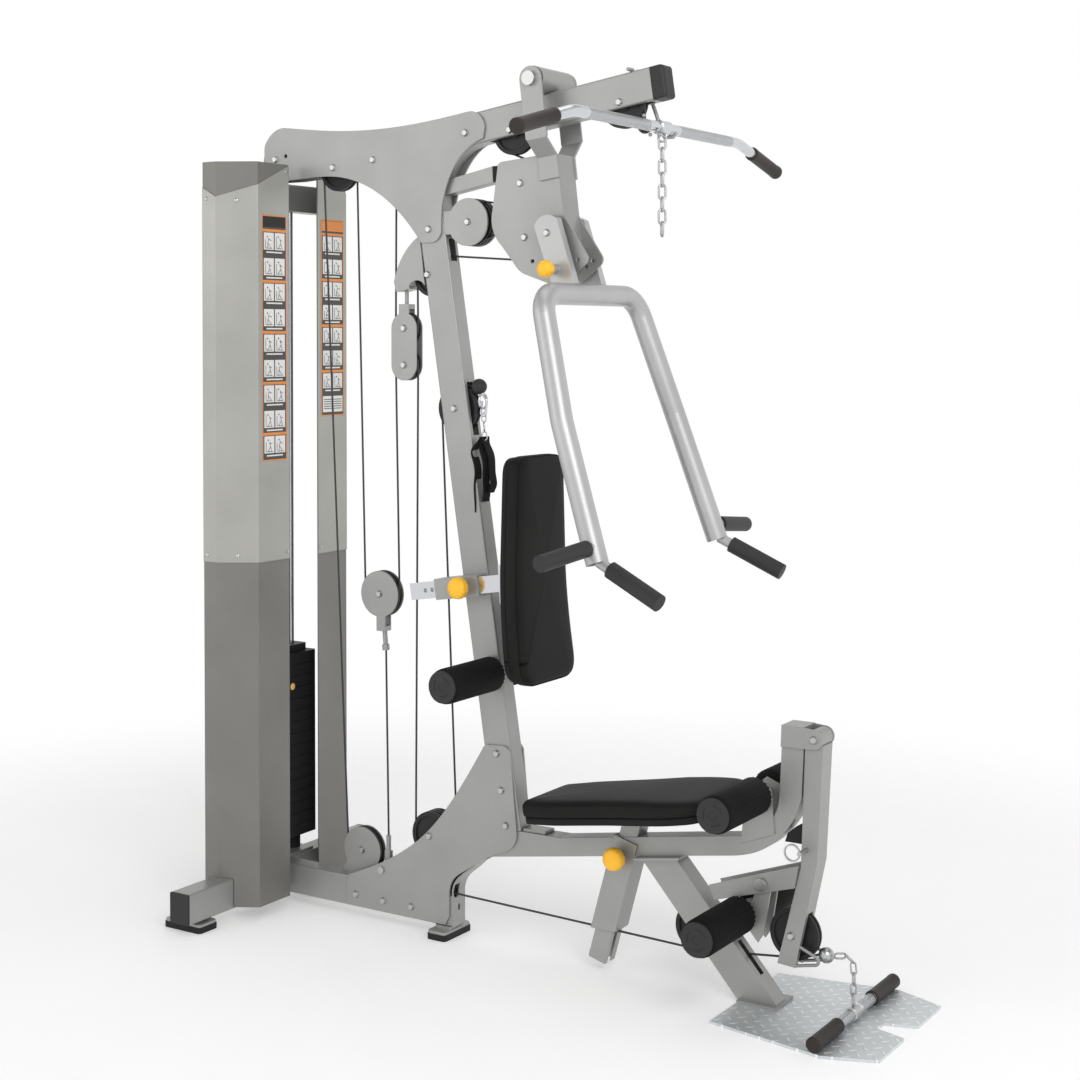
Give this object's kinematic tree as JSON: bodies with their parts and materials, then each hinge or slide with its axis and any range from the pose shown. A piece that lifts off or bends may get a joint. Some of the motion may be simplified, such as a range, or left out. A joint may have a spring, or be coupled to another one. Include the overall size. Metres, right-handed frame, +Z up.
{
  "type": "multi station home gym",
  "caption": "Single-stack home gym with a leaning mast and boom, press arm, lat bar, adjustable seat and back pad, leg lever with foam rollers and a low pulley bar.",
  "frame": {"origin": "centre of the underside of the middle foot, on the plane of symmetry", "axes": "+X to the front of the machine, +Y to the far side, +Z up"},
  "size_m": [1.807, 1.2004, 2.0739],
  "materials": {
    "frame_silver": "satin metallic powder coat",
    "shroud_grey": "satin warm grey",
    "overlay_silver": "satin silver",
    "arm_silver": "bright metallic coat",
    "chrome": "polished",
    "zinc": "zinc plated",
    "black_plastic": "moulded",
    "yellow_plastic": "moulded, glossy",
    "black_rubber": "matt",
    "cable_black": "coated wire rope",
    "plate_iron": "black paint",
    "pad_cover": "grained synthetic cover",
    "foam_black": "closed-cell foam",
    "tread_metal": "diamond tread"
  },
  "bodies": {
    "frame": {"base_gussets": "frame_silver", "base_spine": "frame_silver", "bumpers": "black_rubber", "enclosed_wheels": "black_plastic", "end_caps": "black_plastic", "foot_pads": "black_rubber", "foot_plate": "tread_metal", "foot_trays": "frame_silver", "frame_bolts": "zinc", "guide_rods": "chrome", "lower_cable": "cable_black", "mast_boom": "frame_silver", "mast_fittings": "frame_silver", "pulley_blocks": "frame_silver", "rear_stabilizer": "frame_silver", "rest_plates": "plate_iron", "seat_rail": "frame_silver", "shroud_overlays": "overlay_silver", "stack_shrouds": "shroud_grey", "support_leg": "frame_silver", "top_gussets": "frame_silver", "upper_cable": "cable_black"},
    "press_arm": {"press_arm": "frame_silver", "press_bolts": "zinc", "press_cable": "cable_black"},
    "press_handles": {"press_handles": "arm_silver", "handle_grips": "black_rubber"},
    "press_knob": {"press_knob": "yellow_plastic"},
    "stack": {"stack_head": "plate_iron", "lifted_plates": "plate_iron", "stack_cable": "cable_black"},
    "selector_pin": {"selector_pin": "yellow_plastic"},
    "seat": {"seat_post": "chrome", "seat_pad": "pad_cover"},
    "seat_knob": {"seat_knob": "yellow_plastic"},
    "back_rest": {"back_tube": "chrome", "back_pad": "pad_cover"},
    "back_knob": {"back_knob": "yellow_plastic"},
    "leg_lever": {"leg_lever": "frame_silver", "lever_bolts": "zinc", "lever_cable": "cable_black"},
    "roller_arm": {"roller_arm": "frame_silver"},
    "hitch_pin": {"hitch_pin": "zinc"},
    "rear_rollers": {"rear_rollers": "foam_black"},
    "seat_rollers": {"seat_rollers": "foam_black"},
    "lever_rollers": {"lever_rollers": "foam_black"},
    "lat_bar": {"lat_bar": "chrome", "lat_chain": "chrome"},
    "low_bar": {"low_bar": "chrome", "low_chain": "chrome"},
    "boom_front_wheel": {"boom_front_wheel": "black_plastic"},
    "disc_wheel": {"disc_wheel": "black_plastic"},
    "top_wheel": {"top_wheel": "black_plastic"},
    "mid_wheel": {"mid_wheel": "black_plastic"},
    "floating_wheel": {"floating_wheel": "black_plastic"},
    "base_pulley_wheel": {"base_pulley_wheel": "black_plastic"},
    "leg_wheel": {"leg_wheel": "black_plastic"},
    "lever_wheel": {"lever_wheel": "black_plastic"},
    "sector_upper_wheel": {"sector_upper_wheel": "black_plastic"},
    "sector_lower_wheel": {"sector_lower_wheel": "black_plastic"}
  },
  "joints": [
    {"name": "press_arm_swing", "type": "hinge", "parent": "frame", "child": "press_arm", "pos_m": [0.286, 0, 2.044], "axis": [0, -1, 0], "range_deg": [0, 36], "deforming": ["press_cable"]},
    {"name": "press_start_adjust", "type": "hinge", "parent": "press_arm", "child": "press_handles", "pos_m": [0.326, 0, 1.69], "axis": [0, -1, 0], "range_deg": [-20, 20]},
    {"name": "press_knob_pull", "type": "slide", "parent": "press_handles", "child": "press_knob", "axis": [0, -1, 0], "range_m": [0, 0.012], "stiffness_N_per_m": 800, "springref_m": -0.005},
    {"name": "stack_lift", "type": "slide", "parent": "frame", "child": "stack", "axis": [0, 0, 1], "range_m": [0, 0.541], "deforming": ["stack_cable"]},
    {"name": "selector_pin_pull", "type": "slide", "parent": "stack", "child": "selector_pin", "axis": [1, 0, 0], "range_m": [0, 0.08]},
    {"name": "seat_height", "type": "slide", "parent": "frame", "child": "seat", "axis": [0.2689, 0, 0.9632], "range_m": [0, 0.1]},
    {"name": "seat_knob_pull", "type": "slide", "parent": "frame", "child": "seat_knob", "axis": [0, -1, 0], "range_m": [0, 0.012], "stiffness_N_per_m": 800, "springref_m": -0.005},
    {"name": "back_rest_depth", "type": "slide", "parent": "frame", "child": "back_rest", "axis": [0.9883, 0, 0.1525], "range_m": [0, 0.08]},
    {"name": "back_knob_pull", "type": "slide", "parent": "frame", "child": "back_knob", "axis": [0, -1, 0], "range_m": [0, 0.012], "stiffness_N_per_m": 800, "springref_m": -0.005},
    {"name": "leg_lever_swing", "type": "hinge", "parent": "frame", "child": "leg_lever", "pos_m": [0.972, 0, 0.597], "axis": [0, -1, 0], "range_deg": [0, 80], "stiffness_Nm_per_rad": 30, "springref_deg": -28.65, "deforming": ["lever_cable"]},
    {"name": "roller_arm_adjust", "type": "hinge", "parent": "leg_lever", "child": "roller_arm", "pos_m": [0.852, 0, 0.27], "axis": [0, -1, 0], "range_deg": [-8, 20]},
    {"name": "hitch_pin_pull", "type": "slide", "parent": "leg_lever", "child": "hitch_pin", "axis": [0, -1, 0], "range_m": [0, 0.09]},
    {"name": "rear_roller_spin", "type": "hinge", "parent": "frame", "child": "rear_rollers", "pos_m": [0.15, 0, 0.657], "axis": [0, -1, 0], "continuous": true},
    {"name": "seat_roller_spin", "type": "hinge", "parent": "frame", "child": "seat_rollers", "pos_m": [0.838, 0, 0.462], "axis": [0, -1, 0], "continuous": true},
    {"name": "lever_roller_spin", "type": "hinge", "parent": "roller_arm", "child": "lever_rollers", "pos_m": [0.801, 0, 0.197], "axis": [0, -1, 0], "continuous": true},
    {"name": "lat_bar_lift", "type": "slide", "parent": "frame", "child": "lat_bar", "axis": [0.8189, 0, 0.5739], "range_m": [0, 0.06]},
    {"name": "low_bar_lift", "type": "slide", "parent": "leg_lever", "child": "low_bar", "axis": [0, 0, 1], "range_m": [0, 0.1]},
    {"name": "boom_front_wheel_spin", "type": "hinge", "parent": "frame", "child": "boom_front_wheel", "pos_m": [0.49, 0, 1.981], "axis": [0, -1, 0], "continuous": true},
    {"name": "disc_wheel_spin", "type": "hinge", "parent": "frame", "child": "disc_wheel", "pos_m": [0.074, 0, 1.726], "axis": [0, -1, 0], "continuous": true},
    {"name": "top_wheel_spin", "type": "hinge", "parent": "frame", "child": "top_wheel", "pos_m": [-0.332, 0, 1.875], "axis": [0, -1, 0], "continuous": true},
    {"name": "mid_wheel_spin", "type": "hinge", "parent": "frame", "child": "mid_wheel", "pos_m": [0.034, 0, 1.281], "axis": [0, -1, 0], "continuous": true},
    {"name": "floating_wheel_spin", "type": "hinge", "parent": "frame", "child": "floating_wheel", "pos_m": [-0.202, 0, 0.816], "axis": [0, -1, 0], "continuous": true},
    {"name": "base_pulley_wheel_spin", "type": "hinge", "parent": "frame", "child": "base_pulley_wheel", "pos_m": [-0.268, 0.012, 0.165], "axis": [0, -1, 0], "continuous": true},
    {"name": "leg_wheel_spin", "type": "hinge", "parent": "frame", "child": "leg_wheel", "pos_m": [0.685, 0, 0.14], "axis": [0, -1, 0], "continuous": true},
    {"name": "lever_wheel_spin", "type": "hinge", "parent": "leg_lever", "child": "lever_wheel", "pos_m": [0.918, 0, 0.167], "axis": [0, -1, 0], "continuous": true},
    {"name": "sector_upper_wheel_spin", "type": "hinge", "parent": "press_arm", "child": "sector_upper_wheel", "pos_m": [0.231, 0, 1.81], "axis": [0, -1, 0], "continuous": true},
    {"name": "sector_lower_wheel_spin", "type": "hinge", "parent": "press_arm", "child": "sector_lower_wheel", "pos_m": [0.243, 0, 1.684], "axis": [0, -1, 0], "continuous": true}
  ],
  "couplings": [
    {"joint": "stack_lift", "follows": "press_arm_swing", "m_per_rad": 0.86}
  ]
}
